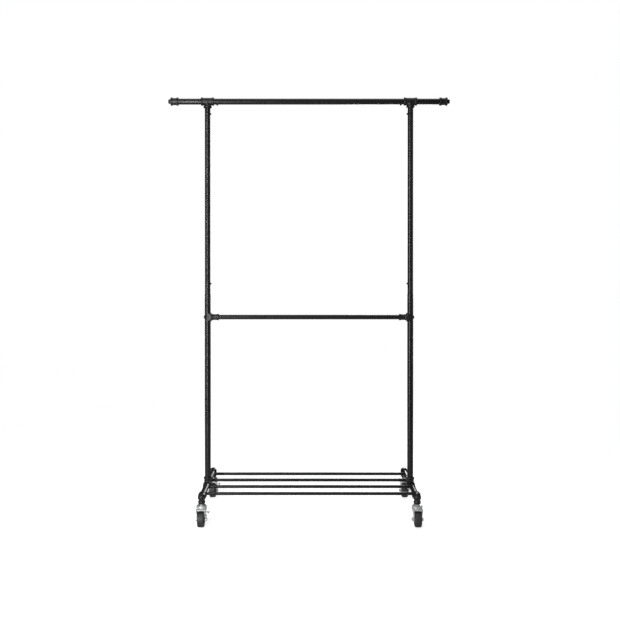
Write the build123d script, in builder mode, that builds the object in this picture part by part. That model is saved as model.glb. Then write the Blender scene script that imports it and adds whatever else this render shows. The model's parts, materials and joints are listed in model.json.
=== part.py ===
"""A rolling clothes rack in pipe style: two uprights, two hanging rails, a shelf of four rods and four swivel
casters, two of them with a brake. Millimetres, +Z up, +X along the rails, -Y towards the front. The origin is
at the middle of the rack's footprint, on the floor."""

import os
from math import cos, radians, sin

from build123d import *

# Driving dimensions of the frame
UPRIGHT_X = 440.0  # from the middle of the rack to each upright's axis
STEM_Y = 200.0  # from the plane of the uprights to each caster's swivel axis
RAIL_Z = 1773.5
MID_RAIL_Z = 838.5
BASE_Z = 115.5  # axis of the base pipes and of the shelf rods
TOP_JOINT_Z = 1674.0
LOWER_JOINT_Z = 938.0
END_X = 599.5  # outer face of the couplings on the top rail's ends

# Tubes
RAIL_D, RAIL_WALL = 25.4, 1.5
RAIL_BORE = RAIL_D - 2 * RAIL_WALL
UPPER_D, UPPER_BORE = 24.0, 21.0
LOWER_D = 25.8
MID_RAIL_D, MID_RAIL_WALL = 20.0, 1.2
ROD_D, ROD_WALL = 13.0, 1.2
ROD_Y = (-150.0, -50.0, 50.0, 150.0)  # from the plane of the uprights
ROD_NAMES = ("front", "mid_front", "mid_rear", "rear")
ROD_PLUG = 20.0  # length of the solid plug in each end of a rod
TOP_SLEEVE_HALF, LOWER_SLEEVE_HALF = 30.0, 45.0  # half the length of the sleeves inside the uprights' joints
LOWER_SLEEVE_RISE = 15.0  # the lower sleeves sit higher than their joint, to reach the screws

# Cast tees and elbows
BODY_D, BEAD_D, BEAD_W, BEAD_ROUND = 32.0, 36.0, 8.0, 1.9
FACE = 28.0  # from the fitting's centre to each of its faces
SOCKET = 6.0  # how deep a tube's end sits in its socket
SHOULDER = FACE - SOCKET
CORE_WALL = 2.0
RAIL_CORE, STUB_CORE, NIPPLE_CORE = 28.0, 20.0, 38.0  # how far a core reaches past the face, into each tube
UPRIGHT_CORE, PIPE_CORE = 22.0, 8.0
FIT = 0.1  # radial gap between a tube and the core inside it
SEAT = 0.05  # gap between two pieces that are screwed together

# The elbows' legs, which narrow to a neck above a bead: radii, and depths below the pipes' axis
LEG_R, NECK_R, LEG_BEAD_R = 14.0, 12.6, 15.3
NECK_TOP, NECK_END, BEAD_MIDDLE, BEAD_END, LEG_END = 9.0, 14.0, 17.5, 21.0, 26.5
ELBOW_FACE_Z = BASE_Z - LEG_END

# Capped ends of the top rail
COUPLING_START = 566.0
COUPLING_D, COUPLING_BEAD_D = 30.0, 35.5
STUB_END = 584.0
PLUG_GAP = 1.0
NUB_R, NUB_END, NUB_ROUND = 9.5, 610.0, 4.5

# Mid rail brackets and the holes they bolt to
HOLE_PITCH = 87.5
HOLE_STEPS = (1, 0, -1, -2)
OUTER_HOLE_R, INNER_HOLE_R = 6.0, 4.2
BRACKET_END = 48.5  # from the upright's axis
BRACKET_SOCKET = 18.0
FLARE_R, FLARE_END = 20.0, 15.0  # the flare against the upright
FLARE_KNEE_R, FLARE_KNEE = 14.4, 19.0
BARREL_R, BARREL_START = 12.5, 26.0
LIP_R, LIP_START, LIP_ROUND = 14.0, 41.5, 1.0
BRACKET_WIDE, BRACKET_HIGH = 28.0, 42.0  # the flare is cut flat on its two sides
BOLT_R, BOLT_HEAD_R, BOLT_HEAD_H = 4.0, 7.0, 3.6
BOLT_DEPTH = 14.0  # how far a bolt enters its bracket, past the upright

# Screws
SCREW_R, SCREW_HEAD_R, SCREW_HEAD_H, SCREW_L = 2.5, 4.3, 4.2, 5.6
ROD_SCREW_HEAD_H = 3.0
ROD_SCREW_L = RAIL_D + ROD_PLUG - 4.0
HEAD_ROUND, KEY_SIZE, KEY_DEPTH = 0.6, 0.42, 0.55  # shares of a head's height, its radius and its height
RAIL_SCREW_X = 398.0
NIPPLE_SCREW_Z = 1720.0
UPPER_SCREW_Z = 984.0

# Casters
WHEEL_R, WHEEL_HALF = 32.0, 13.5
TRAIL = 18.0  # from the swivel axis forward to the axle
AXLE_R, HUB_GAP = 4.0, 0.05
AXLE_HEX_R, AXLE_HEAD_H, AXLE_NUT_H, AXLE_END = 6.5, 5.3, 6.5, 8.5
FORK_GAP, FORK_WALL = 30.0, 2.0
CROWN_Z, CROWN_TOP_Z = 69.0, 71.5
RACE_R = 21.5
BOWL_TOP_Z, CAP_Z, CAP_TOP_Z = 78.0, 78.5, 83.5
CAP_WALL, CAP_SHOULDER = 2.5, 4.5
STEM_R, STEM_TIP = 5.0, 1.0
KING_R, KING_HEAD_R, KING_HEAD_H, KING_PLAY = 5.0, 8.0, 2.5, 0.3
STEM_HEX_R, HEX_GAP = 8.5, 0.2
STEM_TOP_Z = BASE_Z - 2.0
STEM_CLEARANCE = 1.0
BALL_R, BALL_RING_R, BALLS = 2.35, 15.0, 14
GROOVE_HALF, GROOVE_DEPTH = 2.4, 2.3  # the grooves that the balls run in

# The wheel's section: half widths along the axle, and radii from it
BOSS_HALF, BOSS_R = 14.5, 8.5
WEB_HALF, WEB_ROOT, WEB_TOP = 4.0, 9.5, 17.5
RIM_HALF, RIM_IN, RIM_R = 11.5, 19.0, 22.0
TREAD_SHOULDER_R, TREAD_EDGE_R = 27.0, 31.6

# The fork's legs, seen from the side
LEG_FOOT_R, LEG_FOOT_Z = 10.5, 20.0
LEG_BEND_Z = 57.0
LEG_FRONT = 32.0  # from the swivel axis to the front of the crown
LEG_KNEE_Z, LEG_SHOULDER_Z, LEG_REAR_Z, LEG_HEEL_Z = 50.0, 63.0, 66.0, 52.0

# Brake lever, in a section square to its pin: across from the swivel axis, and up from the floor
PIN_X, PIN_Z, PIN_R, PIN_HALF = 20.2, 44.5, 1.5, 10.4
EAR_IN, EAR_T, EAR_R = 7.9, 2.0, 3.4  # the ears: inner faces from the axle, thickness, round ends
EAR_GAP = 0.02
NOTCH_H, NOTCH_DROP = 9.0, 4.0  # the opening in the leg behind the lever's nose
LEVER_R = 2.8  # of the barrel round the pin
LEVER_LEAN = 61.0  # degrees above the horizontal
LEVER_L, LEVER_NARROW = 21.0, 6.5
LEVER_T = 1.6
LEVER_HALF, LEVER_NARROW_HALF = 11.0, 7.5
NOSE_L, NOSE_W = 5.2, 2.2
RIB_TOP, RIB_FOOT = (0.8, 17.6), (0.2, 8.0)  # inner corners of the lever's side ribs, from the pin
GRIP_L, GRIP_T, GRIP_OVER, GRIP_LIP = 5.0, 1.3, 0.6, 1.4

# The casters trail forwards, so the uprights stand a little behind the middle of the footprint
FRONT_REACH = STEM_Y + TRAIL + WHEEL_R
REAR_REACH = STEM_Y + RACE_R
FRAME_Y = (FRONT_REACH - REAR_REACH) / 2

SIDES = {"left": -1, "right": 1}
ENDS = {"front": -1, "rear": 1}
CASTERS = {
    f"{end}_{side}": (SIDES[side] * UPRIGHT_X, FRAME_Y + ENDS[end] * STEM_Y) for end in ENDS for side in SIDES
}
BRAKED = ("front_left", "rear_left")

os.makedirs("parts", exist_ok=True)


def save(part, label):
    part.label = label
    export_step(part, f"parts/{label}.step")


def facing(point, direction):
    """A plane at a point, square to a direction."""
    return Plane(origin=point, z_dir=direction)


def front_plane(x, y, z=0):
    """A sketch plane seen from the front: local x is X and local y is Z."""
    return Plane(origin=(x, y, z), x_dir=(1, 0, 0), z_dir=(0, -1, 0))


def side_plane(x, y):
    """A sketch plane seen from the right: local x is Y and local y is Z."""
    return Plane(origin=(x, y, 0), x_dir=(0, 1, 0), z_dir=(1, 0, 0))


def rims(part, radius):
    """The circular edges of a part that have one radius."""
    circles = part.edges().filter_by(GeomType.CIRCLE)
    return [edge for edge in circles if abs(edge.radius - radius) < SEAT]


def make_tube(start, direction, length, outer_d, bore_d, holes=()):
    """A straight tube, drilled through its wall where holes gives (point, direction, radius)."""
    with BuildPart() as tube:
        with BuildSketch(facing(start, direction)):
            Circle(outer_d / 2)
            Circle(bore_d / 2, mode=Mode.SUBTRACT)
        extrude(amount=length)
        for point, outward, radius in holes:
            with BuildSketch(facing(point, outward)):
                Circle(radius)
            extrude(amount=outer_d, mode=Mode.SUBTRACT)
    return tube.part


def make_fitting(centre, ports, holes=()):
    """A cast fitting. Each port is (direction, tube diameter, tube bore, reach of its core past the face)."""
    with BuildPart() as fitting:
        with Locations(centre):
            Sphere(BODY_D / 2)
        for direction, *_ in ports:
            with BuildSketch(facing(centre, direction)):
                Circle(BODY_D / 2)
            extrude(amount=FACE)
            with BuildSketch(facing(centre, direction).offset(FACE - BEAD_W)):
                Circle(BEAD_D / 2)
            extrude(amount=BEAD_W)
        fillet(rims(fitting, BEAD_D / 2), BEAD_ROUND)
        for direction, tube_d, _, _ in ports:
            with BuildSketch(facing(centre, direction).offset(FACE - SOCKET)):
                Circle(tube_d / 2 + SEAT)
            extrude(amount=SOCKET, mode=Mode.SUBTRACT)
        for direction, _, bore_d, reach in ports:
            with BuildSketch(facing(centre, direction).offset(FACE - SOCKET)):
                Circle(bore_d / 2 - FIT)
            extrude(amount=SOCKET + reach)
        for direction, _, bore_d, reach in ports:
            with BuildSketch(facing(centre, direction)):
                Circle(bore_d / 2 - FIT - CORE_WALL)
            extrude(amount=FACE + reach, mode=Mode.SUBTRACT)
        for point, outward, radius in holes:
            with BuildSketch(facing(point, outward)):
                Circle(radius)
            extrude(amount=BODY_D, mode=Mode.SUBTRACT)
    return fitting.part


def make_screw(point, outward, shank_r, shank_l, head_r, head_h):
    """A button head screw with a hexagon recess. The point is under its head, and outward is up its head."""
    seat = facing(point, outward)
    with BuildPart() as screw:
        with BuildSketch(seat):
            Circle(head_r)
        extrude(amount=head_h)
        crown = screw.edges().filter_by(GeomType.CIRCLE).sort_by(Axis(point, outward))[-1]
        fillet(crown, head_h * HEAD_ROUND)
        with BuildSketch(seat.offset(head_h)):
            RegularPolygon(head_r * KEY_SIZE, 6)
        extrude(amount=-head_h * KEY_DEPTH, mode=Mode.SUBTRACT)
        with BuildSketch(seat):
            Circle(shank_r)
        extrude(amount=-shank_l)
    return screw.part


def group(parts, label):
    """Identical loose pieces written together, each still a solid of its own."""
    save(Compound(children=[solid for part in parts for solid in part.solids()]), label)


# Top rail, its tees, the short tubes past them and the capped ends
rail_start = UPRIGHT_X - SHOULDER
rail_holes = [((s * RAIL_SCREW_X, FRAME_Y, RAIL_Z), (0, 0, -1), SCREW_R + FIT) for s in (-1, 1)]
save(
    make_tube((-rail_start, FRAME_Y, RAIL_Z), (1, 0, 0), 2 * rail_start, RAIL_D, RAIL_BORE, rail_holes),
    "top_rail",
)
screws = []
for side, s in SIDES.items():
    centre = (s * UPRIGHT_X, FRAME_Y, RAIL_Z)
    tee_ports = (
        ((-s, 0, 0), RAIL_D, RAIL_BORE, RAIL_CORE),
        ((s, 0, 0), RAIL_D, RAIL_BORE, STUB_CORE),
        ((0, 0, -1), UPPER_D, UPPER_BORE, NIPPLE_CORE),
    )
    tee_holes = (
        ((s * RAIL_SCREW_X, FRAME_Y, RAIL_Z), (0, 0, -1), SCREW_R + SEAT),
        ((s * UPRIGHT_X, FRAME_Y, NIPPLE_SCREW_Z), (-s, 0, 0), SCREW_R + SEAT),
    )
    save(make_fitting(centre, tee_ports, tee_holes), f"{side}_top_tee")
    under_rail = (s * RAIL_SCREW_X, FRAME_Y, RAIL_Z - RAIL_D / 2)
    screws.append(make_screw(under_rail, (0, 0, -1), SCREW_R, SCREW_L, SCREW_HEAD_R, SCREW_HEAD_H))
    stub_start = UPRIGHT_X + SHOULDER
    save(
        make_tube((s * stub_start, FRAME_Y, RAIL_Z), (s, 0, 0), STUB_END - stub_start, RAIL_D, RAIL_BORE),
        f"{side}_rail_stub",
    )

    outward = (s, 0, 0)
    with BuildPart() as coupling:
        with BuildSketch(facing((s * COUPLING_START, FRAME_Y, RAIL_Z), outward)):
            Circle(COUPLING_D / 2)
        extrude(amount=END_X - COUPLING_START)
        for bead_x in (COUPLING_START, END_X - BEAD_W):
            with BuildSketch(facing((s * bead_x, FRAME_Y, RAIL_Z), outward)):
                Circle(COUPLING_BEAD_D / 2)
            extrude(amount=BEAD_W)
        fillet(rims(coupling, COUPLING_BEAD_D / 2), BEAD_ROUND)
        with BuildSketch(facing((s * COUPLING_START, FRAME_Y, RAIL_Z), outward)):
            Circle(RAIL_D / 2 + SEAT)
        extrude(amount=END_X - COUPLING_START, mode=Mode.SUBTRACT)
    save(coupling.part, f"{side}_end_coupling")

    with BuildPart() as plug:
        with BuildSketch(facing((s * (STUB_END + PLUG_GAP), FRAME_Y, RAIL_Z), outward)):
            Circle(RAIL_D / 2)
        extrude(amount=END_X - STUB_END - PLUG_GAP)
        with BuildSketch(facing((s * END_X, FRAME_Y, RAIL_Z), outward)):
            Circle(NUB_R)
        extrude(amount=NUB_END - END_X)
        tip = plug.edges().filter_by(GeomType.CIRCLE).sort_by(Axis((0, 0, 0), outward))[-1]
        fillet(tip, NUB_ROUND)
    save(plug.part, f"{side}_end_plug")

# Uprights: a short nipple under each tee, the upper tube, and the lower tube with its row of holes
nipple_top = RAIL_Z - SHOULDER
lower_bottom = BASE_Z + SHOULDER
hole_heights = [MID_RAIL_Z + step * HOLE_PITCH for step in HOLE_STEPS]
sleeve_d = UPPER_BORE - 2 * FIT
sleeve_bore = sleeve_d - 2 * CORE_WALL
sleeves = []
for side, s in SIDES.items():
    x = s * UPRIGHT_X
    inward = (-s, 0, 0)
    save(
        make_tube(
            (x, FRAME_Y, TOP_JOINT_Z), (0, 0, 1), nipple_top - TOP_JOINT_Z, UPPER_D, UPPER_BORE,
            [((x, FRAME_Y, NIPPLE_SCREW_Z), inward, SCREW_R + FIT)],
        ),
        f"{side}_top_nipple",
    )
    save(
        make_tube(
            (x, FRAME_Y, LOWER_JOINT_Z), (0, 0, 1), TOP_JOINT_Z - LOWER_JOINT_Z, UPPER_D, UPPER_BORE,
            [((x, FRAME_Y, UPPER_SCREW_Z), inward, SCREW_R + FIT)],
        ),
        f"{side}_upper_upright",
    )
    bolt_holes = [((x, FRAME_Y, z), (s, 0, 0), OUTER_HOLE_R) for z in hole_heights]
    bolt_holes += [((x, FRAME_Y, z), inward, INNER_HOLE_R) for z in hole_heights]
    lower_l = LOWER_JOINT_Z - lower_bottom
    lower = make_tube((x, FRAME_Y, lower_bottom), (0, 0, 1), lower_l, LOWER_D, UPPER_BORE, bolt_holes)
    save(lower, f"{side}_lower_upright")
    top_start = (x, FRAME_Y, TOP_JOINT_Z - TOP_SLEEVE_HALF)
    sleeves.append(make_tube(top_start, (0, 0, 1), 2 * TOP_SLEEVE_HALF, sleeve_d, sleeve_bore))
    lower_start = (x, FRAME_Y, LOWER_JOINT_Z + LOWER_SLEEVE_RISE - LOWER_SLEEVE_HALF)
    sleeve_hole = ((x, FRAME_Y, UPPER_SCREW_Z), inward, SCREW_R + SEAT)
    sleeves.append(
        make_tube(lower_start, (0, 0, 1), 2 * LOWER_SLEEVE_HALF, sleeve_d, sleeve_bore, [sleeve_hole])
    )
    for screw_z in (NIPPLE_SCREW_Z, UPPER_SCREW_Z):
        under_head = (x - s * UPPER_D / 2, FRAME_Y, screw_z)
        screws.append(make_screw(under_head, inward, SCREW_R, SCREW_L, SCREW_HEAD_R, SCREW_HEAD_H))
group(sleeves, "joint_sleeves")
group(screws, "frame_screws")

# Mid rail, the cast brackets on its ends and the bolts that hold them to the uprights
mid_start = UPRIGHT_X - BRACKET_END + BRACKET_SOCKET
mid_bore = MID_RAIL_D - 2 * MID_RAIL_WALL
save(make_tube((-mid_start, FRAME_Y, MID_RAIL_Z), (1, 0, 0), 2 * mid_start, MID_RAIL_D, mid_bore), "mid_rail")
bolts = []
for side, s in SIDES.items():
    x = s * UPRIGHT_X
    inward = (-s, 0, 0)
    with BuildPart() as bracket:
        with BuildSketch(Plane(origin=(x, FRAME_Y, MID_RAIL_Z), x_dir=inward, z_dir=(0, s, 0))):
            with BuildLine():
                Polyline((0, 0), (0, FLARE_R), (FLARE_END, FLARE_R))
                ThreePointArc((FLARE_END, FLARE_R), (FLARE_KNEE, FLARE_KNEE_R), (BARREL_START, BARREL_R))
                Polyline((BARREL_START, BARREL_R), (LIP_START, BARREL_R), (LIP_START, LIP_R))
                Polyline((LIP_START, LIP_R), (BRACKET_END, LIP_R), (BRACKET_END, 0), (0, 0))
            make_face()
        revolve(axis=Axis((x, FRAME_Y, MID_RAIL_Z), (1, 0, 0)))
        with BuildSketch(side_plane(x, FRAME_Y)):
            with Locations((0, MID_RAIL_Z)):
                Rectangle(BRACKET_WIDE, BRACKET_HIGH)
        extrude(amount=BRACKET_END, both=True, mode=Mode.INTERSECT)
        fillet(rims(bracket, LIP_R), LIP_ROUND)
        with BuildSketch(facing((x - s * BRACKET_END, FRAME_Y, MID_RAIL_Z), inward)):
            Circle(MID_RAIL_D / 2 + SEAT)
        extrude(amount=-BRACKET_SOCKET, mode=Mode.SUBTRACT)
        with BuildSketch(facing((x, FRAME_Y, MID_RAIL_Z), inward)):
            Circle(BOLT_R + SEAT)
        extrude(amount=BRACKET_END, mode=Mode.SUBTRACT)
        with BuildSketch(Plane.XY.offset(MID_RAIL_Z)):
            with Locations((x, FRAME_Y)):
                Circle(LOWER_D / 2 + SEAT)
        extrude(amount=BODY_D, both=True, mode=Mode.SUBTRACT)
    save(bracket.part, f"{side}_mid_rail_bracket")
    under_head = (x + s * LOWER_D / 2, FRAME_Y, MID_RAIL_Z)
    bolts.append(make_screw(under_head, (s, 0, 0), BOLT_R, LOWER_D + BOLT_DEPTH, BOLT_HEAD_R, BOLT_HEAD_H))
group(bolts, "mid_rail_bolts")

# Base: a tee under each upright, two pipes along Y and an elbow over each caster
for side, s in SIDES.items():
    x = s * UPRIGHT_X
    tee_ports = (
        ((0, 0, 1), LOWER_D, UPPER_BORE, UPRIGHT_CORE),
        ((0, -1, 0), RAIL_D, RAIL_BORE, PIPE_CORE),
        ((0, 1, 0), RAIL_D, RAIL_BORE, PIPE_CORE),
    )
    save(make_fitting((x, FRAME_Y, BASE_Z), tee_ports), f"{side}_base_tee")
    for end, e in ENDS.items():
        along = (0, e, 0)
        pipe_l = STEM_Y - 2 * SHOULDER
        rod_holes = []
        for y in ROD_Y:
            if y * e > 0:
                rod_holes.append(((x, FRAME_Y + y, BASE_Z), (-s, 0, 0), SCREW_R + FIT))
                rod_holes.append(((x, FRAME_Y + y, BASE_Z), (s, 0, 0), SCREW_R + FIT))
        pipe_start = (x, FRAME_Y + e * SHOULDER, BASE_Z)
        save(make_tube(pipe_start, along, pipe_l, RAIL_D, RAIL_BORE, rod_holes), f"{end}_{side}_base_pipe")

        stem_y = FRAME_Y + e * STEM_Y
        back = (0, -e, 0)
        with BuildPart() as elbow:
            with Locations((x, stem_y, BASE_Z)):
                Sphere(BODY_D / 2)
            with BuildSketch(facing((x, stem_y, BASE_Z), back)):
                Circle(BODY_D / 2)
            extrude(amount=FACE)
            with BuildSketch(facing((x, stem_y, BASE_Z), back).offset(FACE - BEAD_W)):
                Circle(BEAD_D / 2)
            extrude(amount=BEAD_W)
            fillet(rims(elbow, BEAD_D / 2), BEAD_ROUND)
            with BuildSketch(front_plane(x, stem_y, BASE_Z)):
                with BuildLine():
                    Polyline((0, 0), (LEG_R, 0), (NECK_R, -NECK_TOP), (NECK_R, -NECK_END))
                    ThreePointArc((NECK_R, -NECK_END), (LEG_BEAD_R, -BEAD_MIDDLE), (LEG_R, -BEAD_END))
                    Polyline((LEG_R, -BEAD_END), (LEG_R, -LEG_END), (0, -LEG_END), (0, 0))
                make_face()
            revolve(axis=Axis((x, stem_y, 0), (0, 0, 1)))
            with BuildSketch(facing((x, stem_y, BASE_Z), back).offset(FACE - SOCKET)):
                Circle(RAIL_D / 2 + SEAT)
            extrude(amount=SOCKET, mode=Mode.SUBTRACT)
            with BuildSketch(facing((x, stem_y, BASE_Z), back).offset(FACE - SOCKET)):
                Circle(RAIL_BORE / 2 - FIT)
            extrude(amount=SOCKET + PIPE_CORE)
            with BuildSketch(facing((x, stem_y, BASE_Z), back)):
                Circle(RAIL_BORE / 2 - FIT - CORE_WALL)
            extrude(amount=FACE + PIPE_CORE, mode=Mode.SUBTRACT)
            with BuildSketch(Plane.XY.offset(ELBOW_FACE_Z)):
                with Locations((x, stem_y)):
                    Circle(STEM_R + SEAT)
            extrude(amount=STEM_TOP_Z - ELBOW_FACE_Z + STEM_CLEARANCE, mode=Mode.SUBTRACT)
        save(elbow.part, f"{end}_{side}_base_elbow")

# Shelf rods, coped to the pipes beside them, each held by a screw through the pipe at both ends
rod_screws = []
for rod_name, y in zip(ROD_NAMES, ROD_Y):
    with BuildPart() as rod:
        with BuildSketch(facing((-UPRIGHT_X, FRAME_Y + y, BASE_Z), (1, 0, 0))):
            Circle(ROD_D / 2)
        extrude(amount=2 * UPRIGHT_X)
        plug_x = UPRIGHT_X - RAIL_D / 2 - ROD_PLUG
        with BuildSketch(facing((-plug_x, FRAME_Y + y, BASE_Z), (1, 0, 0))):
            Circle(ROD_D / 2 - ROD_WALL)
        extrude(amount=2 * plug_x, mode=Mode.SUBTRACT)
        for s in SIDES.values():
            with BuildSketch(facing((s * UPRIGHT_X, FRAME_Y + y, BASE_Z), (-s, 0, 0))):
                Circle(SCREW_R + SEAT)
            extrude(amount=RAIL_D / 2 + ROD_PLUG, mode=Mode.SUBTRACT)
            with BuildSketch(facing((s * UPRIGHT_X, FRAME_Y + y - ROD_D, BASE_Z), (0, 1, 0))):
                Circle(RAIL_D / 2 + SEAT)
            extrude(amount=2 * ROD_D, mode=Mode.SUBTRACT)
            under_head = (s * (UPRIGHT_X + RAIL_D / 2), FRAME_Y + y, BASE_Z)
            rod_screws.append(
                make_screw(under_head, (s, 0, 0), SCREW_R, ROD_SCREW_L, SCREW_HEAD_R, ROD_SCREW_HEAD_H)
            )
    save(rod.part, f"{rod_name}_shelf_rod")
group(rod_screws, "shelf_rod_screws")


# Casters: each has a stem with the upper race, a ring of balls, a fork, a wheel and an axle bolt


def make_stem(x, y):
    """The upper race, the stem over it, and the king pin under it, whose head holds the fork up."""
    head_z = CROWN_Z - KING_PLAY
    foot_z = head_z - KING_HEAD_H
    groove_in, groove_out = BALL_RING_R - GROOVE_HALF, BALL_RING_R + GROOVE_HALF
    rim_r = RACE_R - 0.5
    top_r = rim_r - CAP_SHOULDER
    with BuildPart() as stem:
        with BuildSketch(front_plane(x, y)):
            with BuildLine():
                Polyline((0, foot_z), (KING_HEAD_R, foot_z), (KING_HEAD_R, head_z), (KING_R, head_z))
                Polyline((KING_R, head_z), (KING_R, CAP_Z), (groove_in, CAP_Z))
                ThreePointArc((groove_in, CAP_Z), (BALL_RING_R, CAP_Z + GROOVE_DEPTH), (groove_out, CAP_Z))
                Polyline((groove_out, CAP_Z), (rim_r, CAP_Z), (rim_r, CAP_Z + CAP_WALL))
                ThreePointArc((rim_r, CAP_Z + CAP_WALL), (rim_r - 1.5, CAP_TOP_Z - 0.9), (top_r, CAP_TOP_Z))
                Polyline((top_r, CAP_TOP_Z), (STEM_R, CAP_TOP_Z), (STEM_R, STEM_TOP_Z - STEM_TIP))
                Polyline((STEM_R, STEM_TOP_Z - STEM_TIP), (STEM_R - STEM_TIP, STEM_TOP_Z), (0, STEM_TOP_Z))
                Line((0, STEM_TOP_Z), (0, foot_z))
            make_face()
        revolve(axis=Axis((x, y, 0), (0, 0, 1)))
        with BuildSketch(Plane.XY.offset(CAP_TOP_Z)):
            with Locations((x, y)):
                RegularPolygon(STEM_HEX_R, 6, major_radius=False)
        extrude(amount=ELBOW_FACE_Z - HEX_GAP - CAP_TOP_Z)
    return stem.part


def make_balls(x, y):
    with BuildPart() as ring:
        with Locations((x, y, (BOWL_TOP_Z + CAP_Z) / 2)):
            with PolarLocations(BALL_RING_R, BALLS):
                Sphere(BALL_R)
    return ring.part


def make_fork(x, y, braked):
    """A pressed fork: crown, two legs and the lower race. A braked one has ears for the lever's pin."""
    axle_y = y - TRAIL
    leg_in = FORK_GAP / 2
    leg_out = leg_in + FORK_WALL
    crown_r = RACE_R - 1
    with BuildPart() as fork:
        with BuildSketch(front_plane(x, y)):
            with BuildLine():
                Polyline((0, CROWN_TOP_Z), (crown_r, CROWN_TOP_Z), (crown_r, CROWN_Z - 1))
                Line((crown_r, CROWN_Z - 1), (leg_out, LEG_BEND_Z))
                Polyline((leg_out, LEG_BEND_Z), (leg_out, LEG_FOOT_Z), (leg_in, LEG_FOOT_Z))
                Polyline((leg_in, LEG_FOOT_Z), (leg_in, LEG_BEND_Z + 1), (crown_r - 3, CROWN_Z))
                Line((crown_r - 3, CROWN_Z), (0, CROWN_Z))
                mirror(about=Plane.YZ)
            make_face()
        extrude(amount=2 * RACE_R, both=True)
        with BuildSketch(side_plane(x, y)):
            with Locations((-TRAIL, WHEEL_R)):
                Circle(LEG_FOOT_R)
            Polygon(
                (-TRAIL - LEG_FOOT_R, WHEEL_R), (-TRAIL - 13, LEG_KNEE_Z), (-LEG_FRONT, LEG_SHOULDER_Z),
                (-LEG_FRONT, CROWN_TOP_Z), (crown_r, CROWN_TOP_Z), (crown_r, LEG_REAR_Z), (0, LEG_HEEL_Z),
                (-TRAIL + LEG_FOOT_R, WHEEL_R), align=None,
            )
        extrude(amount=RACE_R, both=True, mode=Mode.INTERSECT)
        with BuildSketch(front_plane(x, y)):
            with BuildLine():
                Polyline((0, CROWN_TOP_Z - 1), (RACE_R, CROWN_TOP_Z - 1), (RACE_R, BOWL_TOP_Z))
                Line((RACE_R, BOWL_TOP_Z), (BALL_RING_R + GROOVE_HALF, BOWL_TOP_Z))
                ThreePointArc(
                    (BALL_RING_R + GROOVE_HALF, BOWL_TOP_Z), (BALL_RING_R, BOWL_TOP_Z - GROOVE_DEPTH),
                    (BALL_RING_R - GROOVE_HALF, BOWL_TOP_Z),
                )
                Polyline((BALL_RING_R - GROOVE_HALF, BOWL_TOP_Z), (0, BOWL_TOP_Z), (0, CROWN_TOP_Z - 1))
            make_face()
        revolve(axis=Axis((x, y, 0), (0, 0, 1)))
        with BuildSketch(Plane.XY.offset(CROWN_Z - 1)):
            with Locations((x, y)):
                Circle(KING_R + HUB_GAP)
        extrude(amount=BOWL_TOP_Z, mode=Mode.SUBTRACT)
        with BuildSketch(facing((x, axle_y, WHEEL_R), (1, 0, 0))):
            Circle(AXLE_R + HUB_GAP)
        extrude(amount=RACE_R, both=True, mode=Mode.SUBTRACT)
        if braked:
            with BuildSketch(side_plane(x, axle_y)):
                with Locations((0, PIN_Z - NOTCH_DROP)):
                    Rectangle(2 * EAR_IN, NOTCH_H)
            extrude(amount=RACE_R, mode=Mode.SUBTRACT)
            for edge in (-EAR_IN - EAR_T, EAR_IN):
                with BuildSketch(front_plane(x, axle_y + edge)):
                    with Locations((PIN_X, PIN_Z)):
                        Circle(EAR_R)
                    Polygon(
                        (leg_out - 0.5, PIN_Z - EAR_R), (PIN_X, PIN_Z - EAR_R), (PIN_X, PIN_Z + EAR_R),
                        (leg_out - 0.5, PIN_Z + 6), align=None,
                    )
                    with Locations((PIN_X, PIN_Z)):
                        Circle(PIN_R + EAR_GAP, mode=Mode.SUBTRACT)
                extrude(amount=-EAR_T)
    return fork.part


def make_hub(x, axle_y):
    with BuildPart() as hub:
        with BuildSketch(front_plane(x, axle_y, WHEEL_R)):
            with BuildLine():
                Polyline(
                    (0, AXLE_R + HUB_GAP), (BOSS_HALF, AXLE_R + HUB_GAP), (BOSS_HALF, BOSS_R),
                    (WEB_HALF + 1, WEB_ROOT), (WEB_HALF, WEB_TOP),
                    (RIM_HALF, RIM_IN), (RIM_HALF, RIM_R), (0, RIM_R),
                )
                mirror(about=Plane.YZ)
            make_face()
        revolve(axis=Axis((x, axle_y, WHEEL_R), (1, 0, 0)))
    return hub.part


def make_tyre(x, axle_y):
    with BuildPart() as tyre:
        with BuildSketch(front_plane(x, axle_y, WHEEL_R)):
            with BuildLine():
                Polyline((0, RIM_R), (WHEEL_HALF - 1.5, RIM_R), (WHEEL_HALF, RIM_R + 2))
                Line((WHEEL_HALF, RIM_R + 2), (WHEEL_HALF, TREAD_SHOULDER_R))
                ThreePointArc((WHEEL_HALF, TREAD_SHOULDER_R), (12.2, 30.2), (9, TREAD_EDGE_R))
                ThreePointArc((9, TREAD_EDGE_R), (4.5, 31.9), (0, WHEEL_R))
                mirror(about=Plane.YZ)
            make_face()
        revolve(axis=Axis((x, axle_y, WHEEL_R), (1, 0, 0)))
    return tyre.part


def make_axle(x, axle_y):
    """A bolt with its head on the outer leg, and its nut on the inner one."""
    s = 1 if x > 0 else -1
    leg_out = FORK_GAP / 2 + FORK_WALL
    with BuildPart() as bolt:
        with BuildSketch(facing((x + s * leg_out, axle_y, WHEEL_R), (s, 0, 0))):
            RegularPolygon(AXLE_HEX_R, 6, major_radius=False, rotation=30)
        extrude(amount=AXLE_HEAD_H)
        with BuildSketch(facing((x + s * leg_out, axle_y, WHEEL_R), (-s, 0, 0))):
            Circle(AXLE_R)
        extrude(amount=2 * leg_out + AXLE_END)
    with BuildPart() as nut:
        with BuildSketch(facing((x - s * leg_out, axle_y, WHEEL_R), (-s, 0, 0))):
            RegularPolygon(AXLE_HEX_R, 6, major_radius=False, rotation=30)
            Circle(AXLE_R + HUB_GAP, mode=Mode.SUBTRACT)
        extrude(amount=AXLE_NUT_H)
    return [bolt.part, nut.part]


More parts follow.
